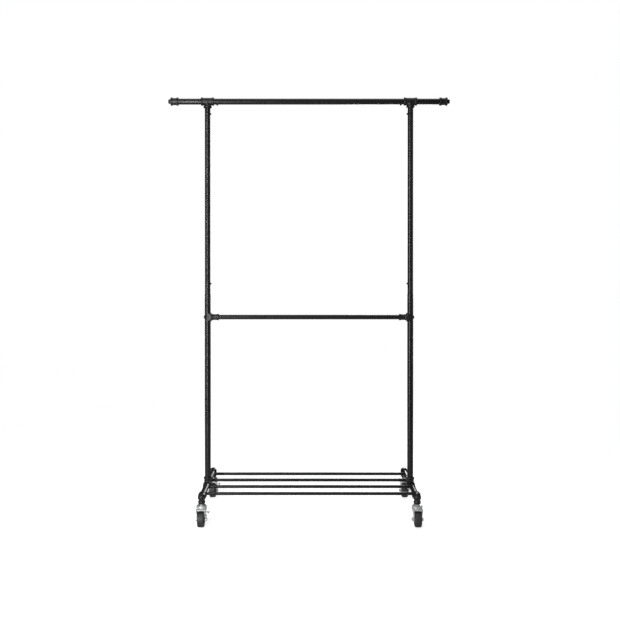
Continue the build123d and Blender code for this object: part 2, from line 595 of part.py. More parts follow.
stems = [make_stem(x, y) for x, y in CASTERS.values()]
balls = [make_balls(x, y) for x, y in CASTERS.values()]
group(stems, "caster_stems")
group(balls, "swivel_balls")
for name, (x, y) in CASTERS.items():
    save(make_fork(x, y, name in BRAKED), f"{name}_fork")
    save(make_hub(x, y - TRAIL), f"{name}_wheel_hub")
    save(make_tyre(x, y - TRAIL), f"{name}_tyre")
    group(make_axle(x, y - TRAIL), f"{name}_axle")

# Brakes: a pressed lever on a pin, whose nose meets the tyre when the lever is pushed down
lean = Vector(cos(radians(LEVER_LEAN)), sin(radians(LEVER_LEAN)))
off = Vector(lean.Y, -lean.X)  # square to the lever, outwards


def lever_point(along, out):
    """A point of the lever's section, from its distance along the lever and its distance out from it."""
    return (PIN_X + lean.X * along + off.X * out, PIN_Z + lean.Y * along + off.Y * out)


def make_pin(x, axle_y):
    with BuildPart() as pin:
        with BuildSketch(facing((x + PIN_X, axle_y - PIN_HALF, PIN_Z), (0, 1, 0))):
            Circle(PIN_R)
        extrude(amount=2 * PIN_HALF)
    return pin.part


def make_lever(x, axle_y):
    """A barrel round the pin, a nose under it, and a plate that widens between two side ribs."""
    plate_in = LEVER_R - LEVER_T
    rib_out = LEVER_R - LEVER_T / 2
    with BuildPart() as lever:
        with BuildSketch(front_plane(x, axle_y)):
            with Locations((PIN_X, PIN_Z)):
                Circle(LEVER_R)
            Polygon(
                lever_point(0, plate_in), lever_point(0, LEVER_R),
                lever_point(LEVER_NARROW + 1, LEVER_R), lever_point(LEVER_NARROW + 1, plate_in), align=None,
            )
            Polygon(
                (PIN_X - NOSE_W / 2, PIN_Z), (PIN_X - NOSE_W / 2, PIN_Z - NOSE_L),
                (PIN_X + NOSE_W / 2, PIN_Z - NOSE_L), (PIN_X + NOSE_W / 2, PIN_Z), align=None,
            )
        extrude(amount=LEVER_NARROW_HALF, both=True)
        with BuildSketch(front_plane(x, axle_y)):
            Polygon(
                lever_point(LEVER_NARROW, plate_in), lever_point(LEVER_NARROW, LEVER_R),
                lever_point(LEVER_L, LEVER_R), lever_point(LEVER_L, plate_in), align=None,
            )
        extrude(amount=LEVER_HALF, both=True)
        for edge in (-LEVER_HALF, LEVER_HALF - LEVER_T):
            with BuildSketch(front_plane(x, axle_y + edge)):
                Polygon(
                    lever_point(LEVER_NARROW, rib_out), lever_point(LEVER_L, rib_out),
                    (PIN_X + RIB_TOP[0], PIN_Z + RIB_TOP[1]), (PIN_X + RIB_FOOT[0], PIN_Z + RIB_FOOT[1]),
                    align=None,
                )
            extrude(amount=-LEVER_T)
        with BuildSketch(front_plane(x, axle_y)):
            with Locations((PIN_X, PIN_Z)):
                Circle(PIN_R + HUB_GAP)
        extrude(amount=LEVER_HALF, both=True, mode=Mode.SUBTRACT)
    return lever.part


def make_grip(x, axle_y):
    """A moulded pad hooked over the lever's end."""
    pad_out, lip = LEVER_R + GRIP_T, LEVER_L + GRIP_LIP
    with BuildPart() as grip:
        with BuildSketch(front_plane(x, axle_y)):
            Polygon(
                lever_point(LEVER_L - GRIP_L, LEVER_R + SEAT), lever_point(LEVER_L - GRIP_L, pad_out),
                lever_point(lip, pad_out), lever_point(lip, LEVER_R - LEVER_T),
                lever_point(LEVER_L + SEAT, LEVER_R - LEVER_T), lever_point(LEVER_L + SEAT, LEVER_R + SEAT),
                align=None,
            )
        extrude(amount=LEVER_HALF + GRIP_OVER, both=True)
    return grip.part


for name in BRAKED:
    x, y = CASTERS[name]
    save(make_pin(x, y - TRAIL), f"{name}_brake_pin")
    save(make_lever(x, y - TRAIL), f"{name}_brake_lever")
    save(make_grip(x, y - TRAIL), f"{name}_brake_grip")
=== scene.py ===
"""The looks of a rolling clothes rack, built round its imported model.

Metres, +Z up, +X along the rails and -Y towards the front. The origin is on the floor, at the
middle of the footprint.
"""

import json
from math import cos, pi, radians, sin, sqrt, tan

import bmesh
import bpy
from mathutils import Matrix, Vector

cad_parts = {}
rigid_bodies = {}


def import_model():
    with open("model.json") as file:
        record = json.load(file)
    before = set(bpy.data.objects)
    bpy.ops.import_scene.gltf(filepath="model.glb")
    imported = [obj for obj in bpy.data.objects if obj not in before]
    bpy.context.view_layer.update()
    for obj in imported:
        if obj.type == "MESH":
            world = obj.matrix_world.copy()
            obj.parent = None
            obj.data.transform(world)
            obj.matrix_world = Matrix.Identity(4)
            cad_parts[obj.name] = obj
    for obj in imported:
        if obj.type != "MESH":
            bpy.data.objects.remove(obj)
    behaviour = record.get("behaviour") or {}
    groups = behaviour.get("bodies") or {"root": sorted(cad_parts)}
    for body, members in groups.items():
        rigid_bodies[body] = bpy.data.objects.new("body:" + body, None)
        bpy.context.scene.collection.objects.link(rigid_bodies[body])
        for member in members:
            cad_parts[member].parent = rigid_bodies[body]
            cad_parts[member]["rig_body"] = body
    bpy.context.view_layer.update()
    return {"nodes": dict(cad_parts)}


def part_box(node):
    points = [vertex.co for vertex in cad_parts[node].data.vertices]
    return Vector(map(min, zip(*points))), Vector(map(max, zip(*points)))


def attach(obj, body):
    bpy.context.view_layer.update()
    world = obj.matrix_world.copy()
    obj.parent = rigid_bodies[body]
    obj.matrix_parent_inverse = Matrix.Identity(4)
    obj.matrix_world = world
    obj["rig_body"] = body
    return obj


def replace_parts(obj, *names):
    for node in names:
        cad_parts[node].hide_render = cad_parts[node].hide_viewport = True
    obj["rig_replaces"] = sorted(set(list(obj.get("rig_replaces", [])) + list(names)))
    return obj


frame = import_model()

MM = 0.001
TINY = 1e-7  # a radius below this is a point on the axis
FINE = 64  # segments round a tube or a turned piece
SHARP = radians(30)  # edges that bend more than this stay crisp, or get a bevel
FLAT = radians(1)  # faces that bend less than this are one face
WELD = 0.002 * MM  # corners closer than this are one corner
ORIGIN = Vector((0, 0, 0))
X, Y, Z = Vector((1, 0, 0)), Vector((0, 1, 0)), Vector((0, 0, 1))
SIDES = {"left": -1, "right": 1}
ENDS = ("front", "rear")
RODS = ("front", "mid_front", "mid_rear", "rear")
BRAKED = ("front_left", "rear_left")


def middle(node):
    low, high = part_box(node)
    return (low + high) / 2


# Where the frame is
RAIL_Z = middle("top_rail").z
FRAME_Y = middle("top_rail").y
MID_RAIL_Z = middle("mid_rail").z
BASE_Z = middle("front_shelf_rod").z
UPRIGHT_X = middle("right_upper_upright").x

# Tubes
RAIL_D, RAIL_BORE = 25.4 * MM, 22.4 * MM
UPPER_D, UPPER_BORE = 24.0 * MM, 21.0 * MM
LOWER_D = 25.8 * MM
MID_RAIL_D, MID_RAIL_BORE = 20.0 * MM, 17.6 * MM
ROD_D, ROD_BORE = 13.0 * MM, 10.6 * MM
EDGE_BREAK = 0.3 * MM

# The hole row of the lower uprights
HOLE_PITCH = 87.5 * MM
HOLE_STEPS = (1, 0, -1, -2)  # pitches above the mid rail
OUTER_HOLE_R, INNER_HOLE_R = 6.0 * MM, 4.2 * MM

# Cast fittings
BODY_R, BEAD_R, BEAD_W, BEAD_ROUND = 16.0 * MM, 18.0 * MM, 8.0 * MM, 1.9 * MM
FACE, SOCKET = 28.0 * MM, 6.0 * MM
SEAT = 0.05 * MM  # room between a part and the hole it sits in
MOUTH = 0.5 * MM  # chamfer at the mouth of a socket
OVER = 3.0 * MM  # how far an arm runs past its face before it is cut
CAST_GRID = 0.9 * MM  # the voxels a casting is melted on
CAST_SMOOTHING, CAST_PULL = 8, 0.5  # passes of smoothing, and how far each one goes

# The elbows' legs: radii, and depths below the pipes' axis
LEG_R, NECK_R, LEG_BEAD_R = 14.0 * MM, 12.6 * MM, 15.3 * MM
NECK_TOP, NECK_END = 9.0 * MM, 14.0 * MM
BEAD_MIDDLE, BEAD_END, LEG_END = 17.5 * MM, 21.0 * MM, 26.5 * MM

# Ends of the top rail
COUPLING_START, END_X = 566.0 * MM, 599.5 * MM
COUPLING_R, COUPLING_BEAD_R, COVE = 15.0 * MM, 17.75 * MM, 0.8 * MM
PLUG_START = 585.0 * MM
NUB_R, NUB_END, NUB_ROUND = 9.5 * MM, 610.0 * MM, 4.5 * MM

# Brackets of the mid rail, from the upright's axis
BRACKET_END, BRACKET_SOCKET, BRACKET_WIDE = 48.5 * MM, 18.0 * MM, 28.0 * MM
FLARE_R, FLARE_END = 20.0 * MM, 15.0 * MM
FLARE_KNEE_R, FLARE_KNEE = 14.4 * MM, 19.0 * MM
BARREL_R, BARREL_START = 12.5 * MM, 26.0 * MM
LIP_R, LIP_START = 14.0 * MM, 41.5 * MM

# Screws
SCREW_R, SCREW_L, SCREW_HEAD_R, SCREW_HEAD_H = 2.5 * MM, 5.6 * MM, 4.3 * MM, 4.2 * MM
ROD_SCREW_L, ROD_SCREW_HEAD_H = 41.4 * MM, 3.0 * MM
BOLT_R, BOLT_DEPTH, BOLT_HEAD_R, BOLT_HEAD_H = 4.0 * MM, 14.0 * MM, 7.0 * MM, 3.6 * MM
HEAD_ROUND, KEY_DEPTH = 0.6, 0.55  # shares of a head's height
KEY_SIZE = 0.42  # share of a head's radius
KEY_EDGE = 0.1 * MM
RAIL_SCREW_X, NIPPLE_SCREW_Z, UPPER_SCREW_Z = 398.0 * MM, 1720.0 * MM, 984.0 * MM

# Casters: wheel
WHEEL_R, WHEEL_HALF, TRAIL = 32.0 * MM, 13.5 * MM, 18.0 * MM
BOSS_HALF, BOSS_R = 14.5 * MM, 8.5 * MM
WEB_HALF, WEB_ROOT, WEB_TOP = 4.0 * MM, 9.5 * MM, 17.5 * MM
WEB_FLARE, WEB_ROUND = 1.0 * MM, 1.5 * MM
RIM_HALF, RIM_IN, RIM_R, RIM_ROUND = 11.5 * MM, 19.0 * MM, 22.0 * MM, 0.8 * MM
RIBS, RIB_W = 6, 1.8 * MM
RIB_FOOT_IN, RIB_FOOT_SUNK = 2.5 * MM, 1.5 * MM
RIB_TOP_IN, RIB_TOP_SUNK = 1.5 * MM, 0.5 * MM
TYRE_FOOT_IN, TYRE_FOOT_H = 1.5 * MM, 2.0 * MM
TREAD_SHOULDER_R, TREAD_EDGE, TREAD_EDGE_R = 27.0 * MM, 9.0 * MM, 31.6 * MM
TREAD_BEND, TREAD_CROWN = (12.2 * MM, 30.2 * MM), 0.3 * MM
MOULD_LINE = 0.4 * MM
MOULD_EDGE, MOULD_DIP = 0.2, 0.6  # depths, in widths of the mould line

# Casters: axle
AXLE_R, HUB_GAP, AXLE_END = 4.0 * MM, 0.05 * MM, 8.5 * MM
AXLE_HEX_R, AXLE_HEAD_H, AXLE_NUT_H = 6.5 * MM, 5.3 * MM, 6.5 * MM
HEX_EDGE = 0.2 * MM
HEX_CHAMFER = 1.25  # how far the cone that chamfers a hexagon reaches, in half widths
THREAD_PITCH, THREAD_DEPTH = 1.25 * MM, 0.5 * MM

# Casters: swivel and stem
RACE_R, BOWL_TOP_Z = 21.5 * MM, 78.0 * MM
RACE_FOOT_IN, RACE_FLARE, RACE_ROUND, RACE_LIP = 3.5 * MM, 1.5 * MM, 2.0 * MM, 0.8 * MM
RACE_SUNK = 1.0 * MM  # how far the lower race reaches into the crown
CAP_Z, CAP_TOP_Z, CAP_SHOULDER, CAP_IN = 78.5 * MM, 83.5 * MM, 4.5 * MM, 0.5 * MM
BALL_RING_R, GROOVE_HALF, GROOVE_DEPTH = 15.0 * MM, 2.4 * MM, 2.3 * MM
GROOVE_IN, GROOVE_OUT = BALL_RING_R - GROOVE_HALF, BALL_RING_R + GROOVE_HALF
KING_R, KING_HEAD_R, KING_HEAD_H, KING_PLAY = 5.0 * MM, 8.0 * MM, 2.5 * MM, 0.3 * MM
KING_ROUND = 1.0 * MM
STEM_R, STEM_TIP, STEM_HEX_R = 5.0 * MM, 1.0 * MM, 8.5 * MM
STEM_TOP_Z = BASE_Z - 2.0 * MM
HEX_TOP_Z = BASE_Z - LEG_END - 0.2 * MM

# Casters: fork
FORK_GAP, FORK_WALL, PRESSED_EDGE = 30.0 * MM, 2.0 * MM, 0.5 * MM
LEG_IN = FORK_GAP / 2
LEG_OUT = LEG_IN + FORK_WALL
LEG_FOOT_R, LEG_FOOT_Z = 10.5 * MM, 20.0 * MM
LEG_BEND_Z, LEG_BEND_RISE, LEG_BEND_R = 57.0 * MM, 1.0 * MM, 5.0 * MM
LEG_KNEE_Z, LEG_KNEE_OUT, LEG_KNEE_R = 50.0 * MM, 2.5 * MM, 6.0 * MM
LEG_FRONT, LEG_SHOULDER_Z, LEG_REAR_Z, LEG_CORNER_R = 32.0 * MM, 63.0 * MM, 66.0 * MM, 4.0 * MM
LEG_HEEL_Z, LEG_HEEL_R = 52.0 * MM, 9.0 * MM
CROWN_HALF = RACE_R - 1.0 * MM
CROWN_Z, CROWN_TOP_Z, CROWN_LIP, CROWN_LIP_IN = 69.0 * MM, 71.5 * MM, 1.0 * MM, 3.0 * MM
CROWN_EDGE_R, CROWN_UNDER_R = 2.0 * MM, 1.5 * MM
CROWN_FRONT_R, CROWN_REAR_R = 5.0 * MM, 7.0 * MM
PLATE_STEPS = 16  # segments round the half round end of a plate

# Casters: the ears that carry a brake lever's pin, and the notch that clears the lever
EAR_IN, EAR_T, EAR_R, EAR_GAP = 7.9 * MM, 2.0 * MM, 3.4 * MM, 0.02 * MM
EAR_SUNK, EAR_RISE = 0.5 * MM, 6.0 * MM
NOTCH_H, NOTCH_DROP, NOTCH_CORNER_R = 9.0 * MM, 4.0 * MM, 1.0 * MM
PIN_X, PIN_Z, PIN_R = 20.2 * MM, 44.5 * MM, 1.5 * MM
BRAKE_EDGES = {"lever": 0.3 * MM, "grip": 0.4 * MM, "pin": 0.3 * MM}

# Each caster's swivel axis, at the floor
CORNERS = {}
for end in ENDS:
    for side in SIDES:
        wheel = middle(f"{end}_{side}_tyre")
        CORNERS[f"{end}_{side}"] = Vector((wheel.x, wheel.y + TRAIL, 0))


# Camera

LENS = 43.46
SHIFT = (0.012, -0.06)
CAMERA_X, CAMERA_DISTANCE, CAMERA_Z = -0.028, 3.251, 1.0485
CAMERA_DIP = 0.31  # degrees below level


def make_camera():
    """In front of the rack, at chest height, nearly level and a little left of its middle."""
    data = bpy.data.cameras.new("camera")
    data.lens = LENS
    data.shift_x, data.shift_y = SHIFT
    camera = bpy.data.objects.new("camera", data)
    camera.location = (CAMERA_X, FRAME_Y - CAMERA_DISTANCE, CAMERA_Z)
    camera.rotation_euler = (radians(90 - CAMERA_DIP), 0, 0)
    bpy.context.scene.collection.objects.link(camera)
    bpy.context.scene.camera = camera


# Materials


class Finish:
    """A material under construction: its nodes, its shader and the place it is textured by."""

    def __init__(self, name):
        self.material = bpy.data.materials.new(name)
        self.material.use_nodes = True
        self.nodes = self.material.node_tree.nodes
        self.links = self.material.node_tree.links
        self.shader = self.nodes["Principled BSDF"]
        self.place = self.nodes.new("ShaderNodeTexCoord").outputs["Object"]

    def set(self, **values):
        for name, value in values.items():
            self.shader.inputs[name.replace("_", " ")].default_value = value

    def link(self, output, name):
        self.links.new(output, self.shader.inputs[name])

    def stretched(self, scale):
        node = self.nodes.new("ShaderNodeMapping")
        node.inputs["Scale"].default_value = scale
        self.links.new(self.place, node.inputs["Vector"])
        return node.outputs["Vector"]

    def noise(self, scale, detail=2.0, roughness=0.5, distortion=0.0, vector=None):
        node = self.nodes.new("ShaderNodeTexNoise")
        node.inputs["Scale"].default_value = scale
        node.inputs["Detail"].default_value = detail
        node.inputs["Roughness"].default_value = roughness
        node.inputs["Distortion"].default_value = distortion
        self.links.new(vector or self.place, node.inputs["Vector"])
        return node.outputs["Fac"]

    def between(self, value, low, high, start=0.3, stop=0.7):
        """A number that goes from low to high as value goes from start to stop."""
        node = self.nodes.new("ShaderNodeMapRange")
        node.interpolation_type = "SMOOTHSTEP"
        ends = {"From Min": start, "From Max": stop, "To Min": low, "To Max": high}
        for name, number in ends.items():
            node.inputs[name].default_value = number
        self.links.new(value, node.inputs["Value"])
        return node.outputs["Result"]

    def tint(self, value, *stops):
        """A colour picked by value, from (position, colour) stops."""
        node = self.nodes.new("ShaderNodeValToRGB")
        ramp = node.color_ramp
        while len(ramp.elements) < len(stops):
            ramp.elements.new(0.5)
        for element, (position, colour) in zip(ramp.elements, stops):
            element.position = position
            element.color = (*colour, 1)
        self.links.new(value, node.inputs["Fac"])
        return node.outputs["Color"]

    def relief(self, *layers):
        """Bumps of (height, strength, depth), one over another."""
        normal = None
        for height, strength, depth in layers:
            node = self.nodes.new("ShaderNodeBump")
            node.inputs["Strength"].default_value = strength
            node.inputs["Distance"].default_value = depth
            self.links.new(height, node.inputs["Height"])
            if normal:
                self.links.new(normal, node.inputs["Normal"])
            normal = node.outputs["Normal"]
        self.link(normal, "Normal")


PAINT = (0.0065, 0.0065, 0.007)


def powder_coat():
    """Semi-gloss black powder coat: orange peel, slightly uneven gloss and a few pale rub marks."""
    finish = Finish("tube_black")
    patches = finish.noise(14, detail=4)
    along = finish.stretched((1, 1, 0.35))
    rubs = finish.noise(90, detail=6, roughness=0.75, distortion=1.2, vector=along)
    worn, rubbed = (0.008, 0.008, 0.0085), (0.014, 0.014, 0.015)
    finish.link(finish.tint(rubs, (0.3, PAINT), (0.66, worn), (0.84, rubbed)), "Base Color")
    finish.link(finish.between(patches, 0.24, 0.32), "Roughness")
    peel, grit = finish.noise(620, detail=1), finish.noise(2600, detail=2)
    finish.relief((peel, 0.02, 0.04 * MM), (grit, 0.02, 0.015 * MM))
    finish.set(Specular_IOR_Level=0.32)
    return finish.material


def cast_coat():
    """The same black over a casting: soft lumps, fine grit and a duller gloss."""
    finish = Finish("fitting_black")
    patches = finish.noise(38, detail=4)
    finish.link(finish.tint(patches, (0.3, PAINT), (0.72, (0.011, 0.011, 0.0115))), "Base Color")
    finish.link(finish.between(patches, 0.3, 0.42), "Roughness")
    lumps, grit = finish.noise(210, detail=3), finish.noise(1500, detail=3, roughness=0.65)
    finish.relief((lumps, 0.45, 0.22 * MM), (grit, 0.35, 0.05 * MM))
    finish.set(Specular_IOR_Level=0.35)
    return finish.material


def black_zinc():
    """Black plated screws, with bare metal showing through where a key has rubbed."""
    finish = Finish("screw_black")
    rubs = finish.noise(420, detail=5, roughness=0.7)
    plated, bare = (0.014, 0.014, 0.016), (0.06, 0.058, 0.056)
    finish.link(finish.tint(rubs, (0.45, plated), (0.74, bare)), "Base Color")
    finish.link(finish.between(rubs, 0.24, 0.4), "Roughness")
    finish.relief((finish.noise(2200, detail=2), 0.25, 0.02 * MM))
    finish.set(Metallic=0.55)
    return finish.material


def zinc_plate():
    """Bright zinc on pressed steel: a pale metal with a fine grain and cloudy passivation."""
    finish = Finish("caster_zinc")
    clouds = finish.noise(60, detail=1)
    grain = finish.noise(900, detail=1, vector=finish.stretched((1, 1, 0.12)))
    dull, bright = (0.5, 0.505, 0.515), (0.62, 0.625, 0.63)
    finish.link(finish.tint(clouds, (0.3, dull), (0.7, bright)), "Base Color")
    finish.link(finish.between(clouds, 0.24, 0.38), "Roughness")
    finish.relief((grain, 0.12, 0.02 * MM), (finish.noise(240, detail=1), 0.1, 0.04 * MM))
    finish.set(Metallic=0.5)
    return finish.material


def drawn_steel():
    """The plain joint sleeves."""
    finish = Finish("sleeve_steel")
    grain = finish.noise(1100, detail=3, vector=finish.stretched((1, 1, 0.03)))
    dark, light = (0.42, 0.42, 0.43), (0.55, 0.55, 0.56)
    finish.link(finish.tint(grain, (0.35, dark), (0.65, light)), "Base Color")
    finish.link(finish.between(grain, 0.28, 0.42), "Roughness")
    finish.relief((grain, 0.3, 0.03 * MM))
    finish.set(Metallic=1.0)
    return finish.material


def polished_steel():
    """Bearing balls with a film of grease."""
    finish = Finish("bearing_steel")
    film = finish.noise(700, detail=3)
    greased, clean = (0.55, 0.55, 0.56), (0.72, 0.72, 0.73)
    finish.link(finish.tint(film, (0.4, greased), (0.65, clean)), "Base Color")
    finish.link(finish.between(film, 0.08, 0.24), "Roughness")
    finish.set(Metallic=1.0)
    return finish.material


def moulded(name, dark, light, roughness, grain):
    """Moulded plastic or rubber: a fine spark-eroded grain and slow flow marks."""
    finish = Finish(name)
    flow = finish.noise(70, detail=3, distortion=0.6)
    finish.link(finish.tint(flow, (0.3, dark), (0.7, light)), "Base Color")
    finish.link(finish.between(flow, roughness - 0.05, roughness + 0.07), "Roughness")
    finish.relief((finish.noise(grain, detail=3, roughness=0.6), 0.35, 0.04 * MM))
    return finish.material


PLASTIC = (0.018, 0.018, 0.019), (0.026, 0.026, 0.027)
RUBBER = (0.014, 0.014, 0.0145), (0.022, 0.022, 0.0225)
MATERIALS = {
    "tube_black": powder_coat(),
    "fitting_black": cast_coat(),
    "screw_black": black_zinc(),
    "caster_zinc": zinc_plate(),
    "sleeve_steel": drawn_steel(),
    "bearing_steel": polished_steel(),
    "hub_plastic": moulded("hub_plastic", *PLASTIC, 0.42, 1600),
    "tyre_rubber": moulded("tyre_rubber", *RUBBER, 0.55, 1100),
    "grip_plastic": moulded("grip_plastic", *PLASTIC, 0.5, 1300),
}
SLOT_WORDS = {
    "screws": "screw_black",
    "bolts": "screw_black",
    "stems": "caster_zinc",
    "balls": "bearing_steel",
    "sleeves": "sleeve_steel",
    "elbow": "fitting_black",
    "tee": "fitting_black",
    "coupling": "fitting_black",
    "plug": "fitting_black",
    "bracket": "fitting_black",
    "fork": "caster_zinc",
    "axle": "caster_zinc",
    "lever": "caster_zinc",
    "pin": "caster_zinc",
    "grip": "grip_plastic",
    "hub": "hub_plastic",
    "tyre": "tyre_rubber",
}


def slot_of(node):
    """The finish of a node, from the last word of its name. What isn't named here is a tube."""
    return SLOT_WORDS.get(node.split("_")[-1], "tube_black")


# Mesh building


def seat(point, outward):
    """Moves what stands on the origin, up +Z, to a point, up another direction."""
    return Matrix.Translation(point) @ outward.to_track_quat("Z", "Y").to_matrix().to_4x4()


def to_piece(name, mesh_data):
    """A shown object from a bmesh."""
    bmesh.ops.recalc_face_normals(mesh_data, faces=mesh_data.faces)
    mesh = bpy.data.meshes.new(name)
    mesh_data.to_mesh(mesh)
    mesh_data.free()
    piece = bpy.data.objects.new(name, mesh)
    bpy.context.scene.collection.objects.link(piece)
    return piece


def settle(piece):
    """Leaves the mesh as its modifiers make it."""
    depsgraph = bpy.context.evaluated_depsgraph_get()
    shaped = bpy.data.meshes.new_from_object(piece.evaluated_get(depsgraph))
    rough = piece.data
    piece.modifiers.clear()
    piece.data = shaped
    bpy.data.meshes.remove(rough)
    return piece


def discard(*pieces):
    for piece in pieces:
        mesh = piece.data
        bpy.data.objects.remove(piece)
        bpy.data.meshes.remove(mesh)


def combine(piece, tool, operation="DIFFERENCE"):
    """Cuts the tool from the piece, or joins or intersects the two, and discards the tool."""
    modifier = piece.modifiers.new("combine", "BOOLEAN")
    modifier.operation = operation
    modifier.solver = "EXACT"
    modifier.object = tool
    settle(piece)
    discard(tool)
    return piece


def soften(piece, width, segments=2):
    """Rounds every edge that bends by more than SHARP."""
    modifier = piece.modifiers.new("soften", "BEVEL")
    modifier.width = width
    modifier.segments = segments
    modifier.limit_method = "ANGLE"
    modifier.angle_limit = SHARP
    return settle(piece)


def gathered(name, *placed):
    """One piece from copies of shapes, each given with the matrix that places it."""
    mesh_data = bmesh.new()
    for shape, matrix in placed:
        copy = shape.data.copy()
        copy.transform(matrix)
        mesh_data.from_mesh(copy)
        bpy.data.meshes.remove(copy)
    return to_piece(name, mesh_data)


def turn_into(mesh_data, profile, origin, axis, segments=FINE):
    """Adds a closed profile of (along, radius) points, turned about an axis."""
    matrix = seat(origin, axis)
    turns = [2 * pi * i / segments for i in range(segments)]
    rings = []
    for along, radius in profile:
        around = turns if radius > TINY else turns[:1]
        points = [Vector((radius * cos(turn), radius * sin(turn), along)) for turn in around]
        rings.append([mesh_data.verts.new(matrix @ point) for point in points])
    for ring, after in zip(rings, rings[1:] + rings[:1]):
        for i in range(segments):
            j = (i + 1) % segments
            corners = [ring[i % len(ring)], ring[j % len(ring)]]
            corners += [after[j % len(after)], after[i % len(after)]]
            corners = list(dict.fromkeys(corners))
            if len(corners) > 2:
                mesh_data.faces.new(corners)


def turned(name, profile, origin=ORIGIN, axis=Z, segments=FINE):
    mesh_data = bmesh.new()
    turn_into(mesh_data, profile, origin, axis, segments)
    return to_piece(name, mesh_data)


def extrude_into(mesh_data, outline, origin, right, up, start, stop):
    """Adds a closed outline of (right, up) points, pushed out between two distances."""
    outward = right.cross(up)
    near, far = (
        [mesh_data.verts.new(origin + right * a + up * b + outward * reach) for a, b in outline]
        for reach in (start, stop)
    )
    mesh_data.faces.new(near)
    mesh_data.faces.new(far)
    for i in range(len(outline)):
        mesh_data.faces.new((near[i - 1], near[i], far[i], far[i - 1]))


def extruded(name, outline, right, up, start, stop):
    mesh_data = bmesh.new()
    extrude_into(mesh_data, outline, ORIGIN, right, up, start, stop)
    return to_piece(name, mesh_data)


def rounded(outline, steps=5):
    """A closed outline with its corners rounded, where a point has a radius after its place."""
    points = [Vector(point[:2]) for point in outline]
    result = []
    for i, corner in enumerate(points):
        radius = outline[i][2] if len(outline[i]) > 2 else 0
        if not radius:
            result.append(tuple(corner))
            continue
        back, ahead = points[i - 1] - corner, points[(i + 1) % len(points)] - corner
        start = corner + back.normalized() * min(radius, back.length / 2)
        stop = corner + ahead.normalized() * min(radius, ahead.length / 2)
        for k in range(steps + 1):
            t = k / steps
            result.append(tuple((1 - t) ** 2 * start + 2 * t * (1 - t) * corner + t * t * stop))
    return result


def bow(start, through, stop, steps=8):
    """A smooth stretch from start to stop by way of a point, without the two ends."""
    start, through, stop = Vector(start), Vector(through), Vector(stop)
    pull = 2 * through - (start + stop) / 2
    shares = [k / steps for k in range(1, steps)]
    return [tuple((1 - t) ** 2 * start + 2 * t * (1 - t) * pull + t * t * stop) for t in shares]


def half_turn(steps):
    """The angles of a half turn, from one end to the other."""
    return [pi * k / steps for k in range(steps + 1)]


def bar(start, stop, radius):
    """The closed profile of a round bar."""
    return [(start, 0), (start, radius), (stop, radius), (stop, 0)]


def both_ways(half):
    """A closed profile from one half of it and that half's mirror image."""
    return half + [(-along, *rest) for along, *rest in reversed(half)]


def finish_piece(piece, *nodes):
    """Puts a piece in the place of its CAD nodes, on their body and with their finish."""
    mesh = piece.data
    mesh.polygons.foreach_set("use_smooth", [True] * len(mesh.polygons))
    mesh.set_sharp_from_angle(angle=SHARP)
    slot = slot_of(nodes[0])
    mesh.materials.clear()
    mesh.materials.append(MATERIALS[slot])
    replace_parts(piece, *nodes)
    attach(piece, frame["nodes"][nodes[0]]["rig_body"])


# Tubes


def tube(node, outer_d, bore_d):
    """A straight tube along its node's longest side, its ends lightly broken."""
    low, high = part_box(node)
    size = high - low
    axis = max((X, Y, Z), key=size.dot)
    length = size.dot(axis)
    outer_r, bore_r = outer_d / 2, bore_d / 2
    profile = [
        (0, bore_r),
        (0, outer_r - EDGE_BREAK),
        (EDGE_BREAK, outer_r),
        (length - EDGE_BREAK, outer_r),
        (length, outer_r - EDGE_BREAK),
        (length, bore_r),
    ]
    return turned(f"{node}_tube", profile, middle(node) - axis * length / 2, axis)


def make_tubes():
    sizes = {"top_rail": (RAIL_D, RAIL_BORE), "mid_rail": (MID_RAIL_D, MID_RAIL_BORE)}
    for side in SIDES:
        sizes[f"{side}_rail_stub"] = (RAIL_D, RAIL_BORE)
        sizes[f"{side}_top_nipple"] = (UPPER_D, UPPER_BORE)
        sizes[f"{side}_upper_upright"] = (UPPER_D, UPPER_BORE)
        for end in ENDS:
            sizes[f"{end}_{side}_base_pipe"] = (RAIL_D, RAIL_BORE)
    for node, (outer_d, bore_d) in sizes.items():
        finish_piece(tube(node, outer_d, bore_d), node)


def make_lower_uprights():
    """The lower uprights have a hole row through both walls, wider on the outside."""
    for side, s in SIDES.items():
        node = f"{side}_lower_upright"
        upright = tube(node, LOWER_D, UPPER_BORE)
        holes = bmesh.new()
        for step in HOLE_STEPS:
            centre = Vector((s * UPRIGHT_X, FRAME_Y, MID_RAIL_Z + step * HOLE_PITCH))
            for outward, radius in ((X * s, OUTER_HOLE_R), (-X * s, INNER_HOLE_R)):
                turn_into(holes, bar(0, LOWER_D, radius), centre, outward)
        combine(upright, to_piece("holes", holes))
        finish_piece(upright, node)


def make_rods():
    """The shelf rods, their ends coped to the base pipes they meet."""
    reach = UPRIGHT_X - RAIL_D / 4  # before the ends are coped
    half = [(-reach, ROD_BORE / 2), (-reach, ROD_D / 2)]
    for name in RODS:
        node = f"{name}_shelf_rod"
        rod = turned(f"{node}_tube", both_ways(half), middle(node), X)
        for vertex in rod.data.vertices:
            rise = vertex.co.z - BASE_Z
            cope = UPRIGHT_X - sqrt((RAIL_D / 2 + SEAT) ** 2 - rise**2)
            vertex.co.x = cope if vertex.co.x > 0 else -cope
        finish_piece(rod, node)


# Cast fittings


def bead_arm(mesh_data, centre, direction):
    """One arm of a fitting with the bead at its mouth, a little longer than its face."""
    start = FACE - BEAD_W
    bead = [(start, 0), (start, BEAD_R, BEAD_ROUND), (FACE, BEAD_R, BEAD_ROUND), (FACE, 0)]
    turn_into(mesh_data, rounded(bead), centre, direction)
    turn_into(mesh_data, bar(0, FACE + OVER, BODY_R), centre, direction)


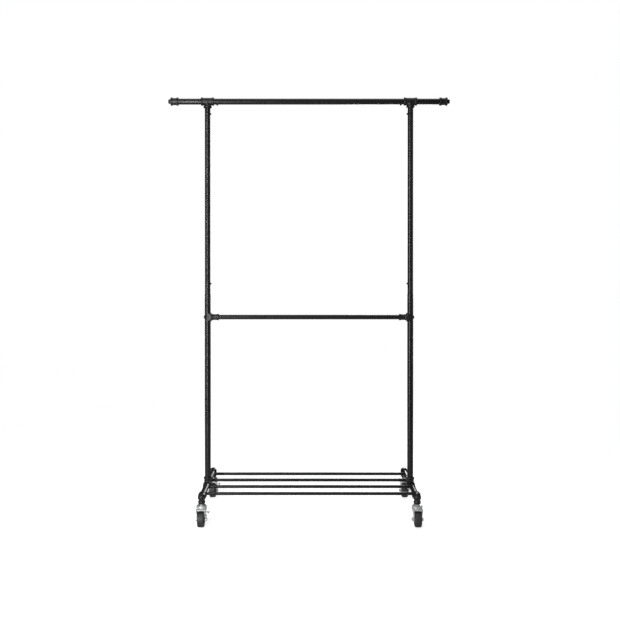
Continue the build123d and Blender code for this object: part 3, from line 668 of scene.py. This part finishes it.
def cast(name, mesh_data):
    """Melts overlapping shapes into one casting with soft corners."""
    piece = to_piece(name, mesh_data)
    grid = piece.modifiers.new("grid", "REMESH")
    grid.mode = "VOXEL"
    grid.voxel_size = CAST_GRID
    soft = piece.modifiers.new("soft", "SMOOTH")
    soft.factor = CAST_PULL
    soft.iterations = CAST_SMOOTHING
    return settle(piece)


def cut_mouth(piece, centre, direction, face, hole_r, depth):
    """Cuts an arm off square at its face, and makes a hole in it with a chamfer at the mouth."""
    profile = [
        (face - depth, 0),
        (face - depth, hole_r),
        (face - MOUTH, hole_r),
        (face, hole_r + MOUTH),
        (face, 2 * BEAD_R),
        (face + 2 * OVER, 2 * BEAD_R),
        (face + 2 * OVER, 0),
    ]
    return combine(piece, turned("mouth", profile, centre, direction))


def make_tee(node, centre, arms):
    """Each arm is (direction, tube diameter)."""
    body = bmesh.new()
    for direction, _ in arms:
        bead_arm(body, centre, direction)
    tee = cast(f"{node}_casting", body)
    for direction, tube_d in arms:
        cut_mouth(tee, centre, direction, FACE, tube_d / 2 + SEAT, SOCKET)
    finish_piece(tee, node)


def make_tees():
    for side, s in SIDES.items():
        top = Vector((s * UPRIGHT_X, FRAME_Y, RAIL_Z))
        make_tee(f"{side}_top_tee", top, ((X, RAIL_D), (-X, RAIL_D), (-Z, UPPER_D)))
        base = Vector((s * UPRIGHT_X, FRAME_Y, BASE_Z))
        make_tee(f"{side}_base_tee", base, ((Y, RAIL_D), (-Y, RAIL_D), (Z, LOWER_D)))


def make_elbow(node, centre, back):
    """An elbow whose leg narrows to a neck above a small bead."""
    body = bmesh.new()
    bead_arm(body, centre, back)
    turn_into(body, [(BODY_R * cos(t), BODY_R * sin(t)) for t in half_turn(FINE)], centre, Z)
    leg = [(0, 0), (0, LEG_R), (NECK_TOP, NECK_R), (NECK_END, NECK_R)]
    leg += bow((NECK_END, NECK_R), (BEAD_MIDDLE, LEG_BEAD_R), (BEAD_END, LEG_R))
    leg += [(BEAD_END, LEG_R), (LEG_END + OVER, LEG_R), (LEG_END + OVER, 0)]
    turn_into(body, leg, centre, -Z)
    elbow = cast(f"{node}_casting", body)
    cut_mouth(elbow, centre, back, FACE, RAIL_D / 2 + SEAT, SOCKET)
    cut_mouth(elbow, centre, -Z, LEG_END, STEM_R + SEAT, LEG_END)
    finish_piece(elbow, node)


def make_elbows():
    for name, corner in CORNERS.items():
        back = Y if corner.y < FRAME_Y else -Y
        make_elbow(f"{name}_base_elbow", corner + Z * BASE_Z, back)


def flared_body(centre, inward):
    """A bracket's outer shape: a flare, a waist and a barrel with a lip, cut flat on two sides."""
    profile = [(0, 0), (0, FLARE_R), (FLARE_END, FLARE_R)]
    profile += bow((FLARE_END, FLARE_R), (FLARE_KNEE, FLARE_KNEE_R), (BARREL_START, BARREL_R))
    profile += [(BARREL_START, BARREL_R), (LIP_START, BARREL_R), (LIP_START, LIP_R)]
    profile += [(BRACKET_END + OVER, LIP_R), (BRACKET_END + OVER, 0)]
    half, reach = BRACKET_WIDE / 2, 2 * BRACKET_END
    section = [(-half, -reach), (half, -reach), (half, reach), (-half, reach)]
    slab = extruded("slab", section, Y, Z, -reach, reach)
    slab.data.transform(Matrix.Translation(centre))
    body = combine(turned("flare", profile, centre, inward), slab, "INTERSECT")
    mesh_data = bmesh.new()
    mesh_data.from_mesh(body.data)
    discard(body)
    return mesh_data


def make_brackets():
    """The brackets of the mid rail, hollowed to sit against the upright and bored for the bolt."""
    reach = 2 * BRACKET_END
    for side, s in SIDES.items():
        centre, inward = Vector((s * UPRIGHT_X, FRAME_Y, MID_RAIL_Z)), -X * s
        bracket = cast(f"{side}_mid_rail_bracket_casting", flared_body(centre, inward))
        cut_mouth(bracket, centre, inward, BRACKET_END, MID_RAIL_D / 2 + SEAT, BRACKET_SOCKET)
        combine(bracket, turned("upright", bar(-reach, reach, LOWER_D / 2 + SEAT), centre, Z))
        combine(bracket, turned("bolt", bar(0, reach, BOLT_R + SEAT), centre, inward))
        finish_piece(bracket, f"{side}_mid_rail_bracket")


def make_rail_ends():
    """The beaded couplings on the top rail's ends, and the domed plugs in them."""
    bore_r = RAIL_D / 2 + SEAT
    length = END_X - COUPLING_START
    coupling = rounded([
        (0, bore_r + MOUTH),
        (0, COUPLING_BEAD_R, BEAD_ROUND),
        (BEAD_W, COUPLING_BEAD_R, BEAD_ROUND),
        (BEAD_W, COUPLING_R, COVE),
        (length - BEAD_W, COUPLING_R, COVE),
        (length - BEAD_W, COUPLING_BEAD_R, BEAD_ROUND),
        (length, COUPLING_BEAD_R, BEAD_ROUND),
        (length, bore_r + MOUTH),
        (length - MOUTH, bore_r),
        (MOUTH, bore_r),
    ])
    plug = rounded([
        (PLUG_START, 0),
        (PLUG_START, RAIL_D / 2),
        (END_X, RAIL_D / 2, EDGE_BREAK),
        (END_X, NUB_R, COVE),
        (NUB_END, NUB_R, NUB_ROUND),
        (NUB_END, 0),
    ], 8)
    for side, s in SIDES.items():
        for part, profile, start in (("coupling", coupling, COUPLING_START), ("plug", plug, 0)):
            node, origin = f"{side}_end_{part}", Vector((s * start, FRAME_Y, RAIL_Z))
            finish_piece(turned(f"{node}_casting", profile, origin, X * s), node)


# Screws


def screw_shape(shank_r, shank_l, head_r, head_h):
    """A button head screw with a hexagon recess. The origin is under its head."""
    profile = [
        (-shank_l, 0),
        (-shank_l, shank_r, EDGE_BREAK),
        (0, shank_r),
        (0, head_r, EDGE_BREAK),
        (head_h, head_r, head_h * HEAD_ROUND),
        (head_h, 0),
    ]
    key_floor, key_top = head_h * (1 - KEY_DEPTH), head_h + EDGE_BREAK
    key = turned("key", bar(key_floor, key_top, head_r * KEY_SIZE), segments=6)
    return soften(combine(turned("screw", rounded(profile, 6)), key), KEY_EDGE)


def make_screws():
    frame_screw = screw_shape(SCREW_R, SCREW_L, SCREW_HEAD_R, SCREW_HEAD_H)
    rod_screw = screw_shape(SCREW_R, ROD_SCREW_L, SCREW_HEAD_R, ROD_SCREW_HEAD_H)
    bolt = screw_shape(BOLT_R, LOWER_D + BOLT_DEPTH, BOLT_HEAD_R, BOLT_HEAD_H)
    frame_screws, rod_screws, bolts = [], [], []
    for s in SIDES.values():
        under_rail = Vector((s * RAIL_SCREW_X, FRAME_Y, RAIL_Z - RAIL_D / 2))
        frame_screws.append((frame_screw, seat(under_rail, -Z)))
        for height in (NIPPLE_SCREW_Z, UPPER_SCREW_Z):
            inside = Vector((s * (UPRIGHT_X - UPPER_D / 2), FRAME_Y, height))
            frame_screws.append((frame_screw, seat(inside, -X * s)))
        for name in RODS:
            outside = Vector((s * (UPRIGHT_X + RAIL_D / 2), middle(f"{name}_shelf_rod").y, BASE_Z))
            rod_screws.append((rod_screw, seat(outside, X * s)))
        outside = Vector((s * (UPRIGHT_X + LOWER_D / 2), FRAME_Y, MID_RAIL_Z))
        bolts.append((bolt, seat(outside, X * s)))
    finish_piece(gathered("frame_button_screws", *frame_screws), "frame_screws")
    finish_piece(gathered("rod_button_screws", *rod_screws), "shelf_rod_screws")
    finish_piece(gathered("bracket_bolts", *bolts), "mid_rail_bolts")
    discard(frame_screw, rod_screw, bolt)


# Casters, each made round its own swivel axis, and its wheel round the origin


def hexagon(name, half_width, start, stop, chamfered):
    """A hexagon along +Z, its corners chamfered at the ends whose distances are in chamfered."""
    corner_r = half_width / cos(pi / 6)
    turns = [pi * k / 3 for k in range(6)]
    outline = [(corner_r * cos(turn), corner_r * sin(turn)) for turn in turns]
    prism = extruded(name, outline, X, Y, start, stop)
    wide = HEX_CHAMFER * half_width
    drop = (wide - half_width) * tan(pi / 6)
    if start in chamfered:
        profile = [(start, 0), (start, half_width), (start + drop, wide)]
    else:
        profile = [(start - drop, 0), (start - drop, wide)]
    if stop in chamfered:
        profile += [(stop - drop, wide), (stop, half_width), (stop, 0)]
    else:
        profile += [(stop + drop, wide), (stop + drop, 0)]
    return soften(combine(prism, turned("chamfer", profile), "INTERSECT"), HEX_EDGE)


def thread(start, stop, radius):
    """The outline of a thread's crests and roots between two distances along a shank."""
    turns = round((stop - start) / THREAD_PITCH)
    pitch = (stop - start) / turns
    points = []
    for k in range(turns):
        points.append((start + (k + 0.25) * pitch, radius - THREAD_DEPTH))
        points.append((start + (k + 0.75) * pitch, radius))
    return points


def stem_shape():
    """The king pin and its head, the upper race, and the hexagon and threaded stem above it."""
    rim_r = RACE_R - CAP_IN
    head_z = CROWN_Z - KING_PLAY
    foot_z = head_z - KING_HEAD_H
    profile = [(foot_z, 0), (foot_z, KING_HEAD_R, KING_ROUND)]
    profile += [(head_z, KING_HEAD_R, EDGE_BREAK), (head_z, KING_R)]
    profile += [(CAP_Z, KING_R), (CAP_Z, GROOVE_IN)]
    profile += bow((CAP_Z, GROOVE_IN), (CAP_Z + GROOVE_DEPTH, BALL_RING_R), (CAP_Z, GROOVE_OUT))
    profile += [(CAP_Z, GROOVE_OUT), (CAP_Z, rim_r, EDGE_BREAK), (CAP_TOP_Z, rim_r, CAP_SHOULDER)]
    profile += [(CAP_TOP_Z, STEM_R), (HEX_TOP_Z, STEM_R)]
    profile += thread(HEX_TOP_Z, STEM_TOP_Z - STEM_TIP, STEM_R)
    profile += [(STEM_TOP_Z - STEM_TIP, STEM_R), (STEM_TOP_Z, STEM_R - STEM_TIP), (STEM_TOP_Z, 0)]
    stem = turned("stem", rounded(profile, 8))
    collar = hexagon("collar", STEM_HEX_R, CAP_TOP_Z - SEAT, HEX_TOP_Z, (HEX_TOP_Z,))
    return combine(stem, collar, "UNION")


def fork_section():
    """The fork from the front: a crown that spreads past two straight legs."""
    half = [
        (CROWN_HALF, CROWN_TOP_Z, CROWN_EDGE_R),
        (CROWN_HALF, CROWN_Z - CROWN_LIP, CROWN_UNDER_R),
        (LEG_OUT, LEG_BEND_Z, LEG_BEND_R),
        (LEG_OUT, LEG_FOOT_Z),
        (LEG_IN, LEG_FOOT_Z),
        (LEG_IN, LEG_BEND_Z + LEG_BEND_RISE, LEG_BEND_R),
        (CROWN_HALF - CROWN_LIP_IN, CROWN_Z, CROWN_UNDER_R),
    ]
    return rounded(both_ways(half))


def fork_side():
    """The fork from the side: round feet at the axle, a knee in front and a heel behind."""
    turns = half_turn(PLATE_STEPS)
    outline = [(-TRAIL + LEG_FOOT_R * cos(t), WHEEL_R - LEG_FOOT_R * sin(t)) for t in turns]
    outline += [
        (-TRAIL - LEG_FOOT_R - LEG_KNEE_OUT, LEG_KNEE_Z, LEG_KNEE_R),
        (-LEG_FRONT, LEG_SHOULDER_Z, LEG_CORNER_R),
        (-LEG_FRONT, CROWN_TOP_Z),
        (CROWN_HALF, CROWN_TOP_Z),
        (CROWN_HALF, LEG_REAR_Z, LEG_CORNER_R),
        (0, LEG_HEEL_Z, LEG_HEEL_R),
    ]
    return rounded(outline)


def fork_top():
    """The crown from above."""
    front = [(-CROWN_HALF, -LEG_FRONT, CROWN_FRONT_R), (CROWN_HALF, -LEG_FRONT, CROWN_FRONT_R)]
    rear = [(CROWN_HALF, CROWN_HALF, CROWN_REAR_R), (-CROWN_HALF, CROWN_HALF, CROWN_REAR_R)]
    return rounded(front + rear, 8)


def race_profile():
    """The lower race: a bowl with the balls' groove in its top."""
    king_r, foot_z = KING_R + HUB_GAP, CROWN_TOP_Z - RACE_SUNK
    profile = [(foot_z, king_r), (foot_z, RACE_R - RACE_FOOT_IN)]
    profile += [(CROWN_TOP_Z + RACE_FLARE, RACE_R, RACE_ROUND), (BOWL_TOP_Z, RACE_R, RACE_LIP)]
    outer, inner = (BOWL_TOP_Z, GROOVE_OUT), (BOWL_TOP_Z, GROOVE_IN)
    profile += [outer, *bow(outer, (BOWL_TOP_Z - GROOVE_DEPTH, BALL_RING_R), inner), inner]
    profile += [(BOWL_TOP_Z, king_r)]
    return rounded(profile)


def brake_ears():
    """The two plates on the outer leg that hold the brake lever's pin."""
    turns = half_turn(PLATE_STEPS)
    outline = [(LEG_OUT - EAR_SUNK, PIN_Z - EAR_R)]
    outline += [(PIN_X + EAR_R * sin(t), PIN_Z - EAR_R * cos(t)) for t in turns]
    outline += [(LEG_OUT - EAR_SUNK, PIN_Z + EAR_RISE)]
    mesh_data = bmesh.new()
    for start in (TRAIL - EAR_IN - EAR_T, TRAIL + EAR_IN):
        extrude_into(mesh_data, outline, ORIGIN, X, Z, start, start + EAR_T)
    ears = soften(to_piece("ears", mesh_data), PRESSED_EDGE / 2)
    pin_hole = bar(0, 2 * TRAIL, PIN_R + EAR_GAP)
    return combine(ears, turned("pin_hole", pin_hole, Vector((PIN_X, 0, PIN_Z)), -Y))


def fork_shape(braked):
    """A pressed fork: crown, two legs and the lower race. A braked one has the lever's ears."""
    fork = extruded("fork", fork_section(), X, Z, -2 * RACE_R, 2 * RACE_R)
    combine(fork, extruded("side", fork_side(), Y, Z, -RACE_R, RACE_R), "INTERSECT")
    combine(fork, extruded("top", fork_top(), X, Y, 0, CAP_Z), "INTERSECT")
    if braked:
        corners = ((-1, -1), (1, -1), (1, 1), (-1, 1))
        mid_z = PIN_Z - NOTCH_DROP
        notch = [(-TRAIL + y * EAR_IN, mid_z + z * NOTCH_H / 2, NOTCH_CORNER_R) for y, z in corners]
        combine(fork, extruded("notch", rounded(notch), Y, Z, 0, 2 * RACE_R))
    soften(fork, PRESSED_EDGE)
    combine(fork, turned("race", race_profile(), segments=2 * FINE), "UNION")
    combine(fork, turned("king_hole", bar(0, BOWL_TOP_Z - RACE_SUNK, KING_R + HUB_GAP)))
    axle_hole = bar(-RACE_R, RACE_R, AXLE_R + HUB_GAP)
    combine(fork, turned("axle_hole", axle_hole, Vector((0, -TRAIL, WHEEL_R)), X))
    if braked:
        combine(fork, brake_ears(), "UNION")
    return fork


def hub_shape():
    """The wheel's moulded middle: boss, web and rim, with ribs across the web."""
    half = [
        (BOSS_HALF - EDGE_BREAK, AXLE_R + HUB_GAP),
        (BOSS_HALF, AXLE_R + HUB_GAP + EDGE_BREAK),
        (BOSS_HALF, BOSS_R, RIM_ROUND),
        (WEB_HALF + WEB_FLARE, WEB_ROOT, WEB_ROUND),
        (WEB_HALF, WEB_TOP, WEB_ROUND),
        (RIM_HALF, RIM_IN, RIM_ROUND),
        (RIM_HALF, RIM_R),
    ]
    hub = turned("hub", rounded(both_ways(half)), ORIGIN, X, 2 * FINE)
    foot = (RIM_HALF - RIB_FOOT_IN, WEB_ROOT - RIB_FOOT_SUNK)
    top = (RIM_HALF - RIB_TOP_IN, RIM_IN + RIB_TOP_SUNK)
    ribs = bmesh.new()
    for k in range(RIBS):
        turn = 2 * pi * k / RIBS
        outward = Y * cos(turn) + Z * sin(turn)
        extrude_into(ribs, both_ways([foot, top]), ORIGIN, X, outward, -RIB_W / 2, RIB_W / 2)
    return combine(hub, to_piece("ribs", ribs), "UNION")


def tyre_shape():
    """A solid tyre with round shoulders and the fine line left by its mould."""
    shoulder, edge = (WHEEL_HALF, TREAD_SHOULDER_R), (TREAD_EDGE, TREAD_EDGE_R)
    half = [(WHEEL_HALF - TYRE_FOOT_IN, RIM_R), (WHEEL_HALF, RIM_R + TYRE_FOOT_H)]
    half += [shoulder, *bow(shoulder, TREAD_BEND, edge), edge]
    half += bow(edge, (TREAD_EDGE / 2, TREAD_EDGE_R + TREAD_CROWN), (0, WHEEL_R))
    half += [(MOULD_LINE, WHEEL_R - MOULD_EDGE * MOULD_LINE)]
    half += [(MOULD_LINE / 2, WHEEL_R - MOULD_DIP * MOULD_LINE)]
    return turned("tyre", both_ways(half), ORIGIN, X, 2 * FINE)


def axle_shape():
    """The axle bolt, its head past the leg on the +X side and a nut on its threaded end."""
    tip = -LEG_OUT - AXLE_END
    shank = [(tip, 0), (tip, AXLE_R - EDGE_BREAK)]
    shank += thread(tip + EDGE_BREAK, -LEG_OUT, AXLE_R)
    shank += [(-LEG_OUT, AXLE_R), (LEG_OUT + SEAT, AXLE_R), (LEG_OUT + SEAT, 0)]
    head_top, nut_top = LEG_OUT + AXLE_HEAD_H, LEG_OUT + AXLE_NUT_H
    bolt = turned("bolt", shank)
    combine(bolt, hexagon("head", AXLE_HEX_R, LEG_OUT, head_top, (head_top,)), "UNION")
    nut = hexagon("nut", AXLE_HEX_R, LEG_OUT, nut_top, (LEG_OUT, nut_top))
    combine(nut, turned("nut_hole", bar(0, 2 * nut_top, AXLE_R + HUB_GAP)))
    axle = gathered("axle", (bolt, seat(ORIGIN, X)), (nut, seat(ORIGIN, -X)))
    discard(bolt, nut)
    return axle


def make_casters():
    stem, hub, tyre, axle = stem_shape(), hub_shape(), tyre_shape(), axle_shape()
    forks = {braked: fork_shape(braked) for braked in (False, True)}
    stems = [(stem, Matrix.Translation(corner)) for corner in CORNERS.values()]
    finish_piece(gathered("caster_stem_castings", *stems), "caster_stems")
    for name, corner in CORNERS.items():
        swivel = Matrix.Translation(corner)
        wheel = Matrix.Translation(corner + Vector((0, -TRAIL, WHEEL_R)))
        outwards = wheel @ Matrix.Scale(1 if corner.x > 0 else -1, 4, X)
        for kind, node, shape, matrix in (
            ("pressed_fork", "fork", forks[name in BRAKED], swivel),
            ("ribbed_hub", "wheel_hub", hub, wheel),
            ("moulded_tyre", "tyre", tyre, wheel),
            ("hex_axle", "axle", axle, outwards),
        ):
            finish_piece(gathered(f"{name}_{kind}", (shape, matrix)), f"{name}_{node}")
    discard(stem, hub, tyre, axle, *forks.values())


def softened_copy(node, width):
    """A node's own shape with its edges rounded."""
    mesh_data = bmesh.new()
    mesh_data.from_mesh(frame["nodes"][node].data)
    bmesh.ops.remove_doubles(mesh_data, verts=mesh_data.verts, dist=WELD)
    bmesh.ops.dissolve_limit(
        mesh_data, angle_limit=FLAT, verts=mesh_data.verts, edges=mesh_data.edges,
        use_dissolve_boundaries=False, delimit={"NORMAL"},
    )
    finish_piece(soften(to_piece(f"{node}_pressing", mesh_data), width), node)


def make_brakes():
    for name in BRAKED:
        for part, edge in BRAKE_EDGES.items():
            softened_copy(f"{name}_brake_{part}", edge)


def finish_cad_nodes():
    """Gives the nodes that nothing replaces their finish. They keep their CAD shape."""
    replaced = {node for piece in bpy.data.objects for node in piece.get("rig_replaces", ())}
    for node, shape in frame["nodes"].items():
        if node not in replaced:
            shape.data.materials.clear()
            shape.data.materials.append(MATERIALS[slot_of(node)])


make_camera()
make_tubes()
make_lower_uprights()
make_rods()
make_tees()
make_elbows()
make_brackets()
make_rail_ends()
make_screws()
make_casters()
make_brakes()
finish_cad_nodes()


# Studio

BACKDROP, ROOM = 1.0, 0.06  # the surroundings as the camera sees them, and as they light the rack
FLOOR_R, FLOOR_SIDES = 3.0, 96
FLOOR_FADE = 0.25  # share of the radius from which the floor fades out
FLOOR_TONE = 0.85
FLOOR_GLOW = 0.7  # keeps the shadows on the floor pale
RACK_MIDDLE = (0, 0, 0.9)
LIGHTS = (  # name, place, target, width, height and watts
    ("overhead", (0, 0, 4.2), ORIGIN, 2.6, 2.6, 40),
    ("strip", (-0.95, -1.8, 1.12), (-0.3, 0, 1.12), 0.12, 2.1, 46),
    ("left", (-3.2, -1.6, 1.3), RACK_MIDDLE, 0.5, 2.2, 14),
    ("right", (3.2, -1.2, 1.3), RACK_MIDDLE, 0.9, 2.2, 12),
    ("front", (0, -3.6, 2.4), RACK_MIDDLE, 1.2, 1.2, 6),
    ("back", (0.8, 3.6, 1.6), RACK_MIDDLE, 0.8, 2.0, 35),
)


def make_floor():
    """A wide pale floor that fades out towards its edge, and glows for the camera alone."""
    mesh_data = bmesh.new()
    bmesh.ops.create_circle(mesh_data, cap_ends=True, radius=FLOOR_R, segments=FLOOR_SIDES)
    floor = to_piece("floor", mesh_data)
    finish = Finish("floor_paper")
    clear = finish.nodes.new("ShaderNodeBsdfTransparent")
    blend = finish.nodes.new("ShaderNodeMixShader")
    distance = finish.nodes.new("ShaderNodeVectorMath")
    distance.operation = "LENGTH"
    finish.links.new(finish.place, distance.inputs[0])
    fade = finish.between(distance.outputs["Value"], 0.0, 1.0, FLOOR_FADE * FLOOR_R, FLOOR_R)
    finish.links.new(fade, blend.inputs["Fac"])
    finish.links.new(finish.shader.outputs["BSDF"], blend.inputs[1])
    finish.links.new(clear.outputs["BSDF"], blend.inputs[2])
    finish.links.new(blend.outputs["Shader"], finish.nodes["Material Output"].inputs["Surface"])
    tone, glow = (FLOOR_TONE,) * 3, (FLOOR_GLOW,) * 3
    finish.set(Base_Color=(*tone, 1), Roughness=0.9, Specular_IOR_Level=0.1)
    seen = finish.nodes.new("ShaderNodeLightPath")
    finish.link(seen.outputs["Is Camera Ray"], "Emission Strength")
    finish.set(Emission_Color=(*glow, 1))
    floor.data.materials.append(finish.material)


def make_light(name, place, target, width, height, power):
    data = bpy.data.lights.new(name, "AREA")
    data.shape = "RECTANGLE"
    data.size, data.size_y = width, height
    data.energy = power
    light = bpy.data.objects.new(name, data)
    light.location = place
    light.rotation_euler = (Vector(target) - Vector(place)).to_track_quat("-Z", "Y").to_euler()
    light.visible_camera = False
    bpy.context.scene.collection.objects.link(light)


def make_world():
    """White for the camera, and a dim room for everything else."""
    world = bpy.data.worlds.new("studio")
    world.use_nodes = True
    tree = world.node_tree
    backdrop, room = tree.nodes["Background"], tree.nodes.new("ShaderNodeBackground")
    for node, strength in ((backdrop, BACKDROP), (room, ROOM)):
        node.inputs["Color"].default_value = (1, 1, 1, 1)
        node.inputs["Strength"].default_value = strength
    seen = tree.nodes.new("ShaderNodeLightPath")
    choice = tree.nodes.new("ShaderNodeMixShader")
    tree.links.new(seen.outputs["Is Camera Ray"], choice.inputs["Fac"])
    tree.links.new(room.outputs["Background"], choice.inputs[1])
    tree.links.new(backdrop.outputs["Background"], choice.inputs[2])
    tree.links.new(choice.outputs["Shader"], tree.nodes["World Output"].inputs["Surface"])
    bpy.context.scene.world = world


bpy.context.scene.view_settings.view_transform = "Standard"
make_world()
make_floor()
for settings in LIGHTS:
    make_light(*settings)
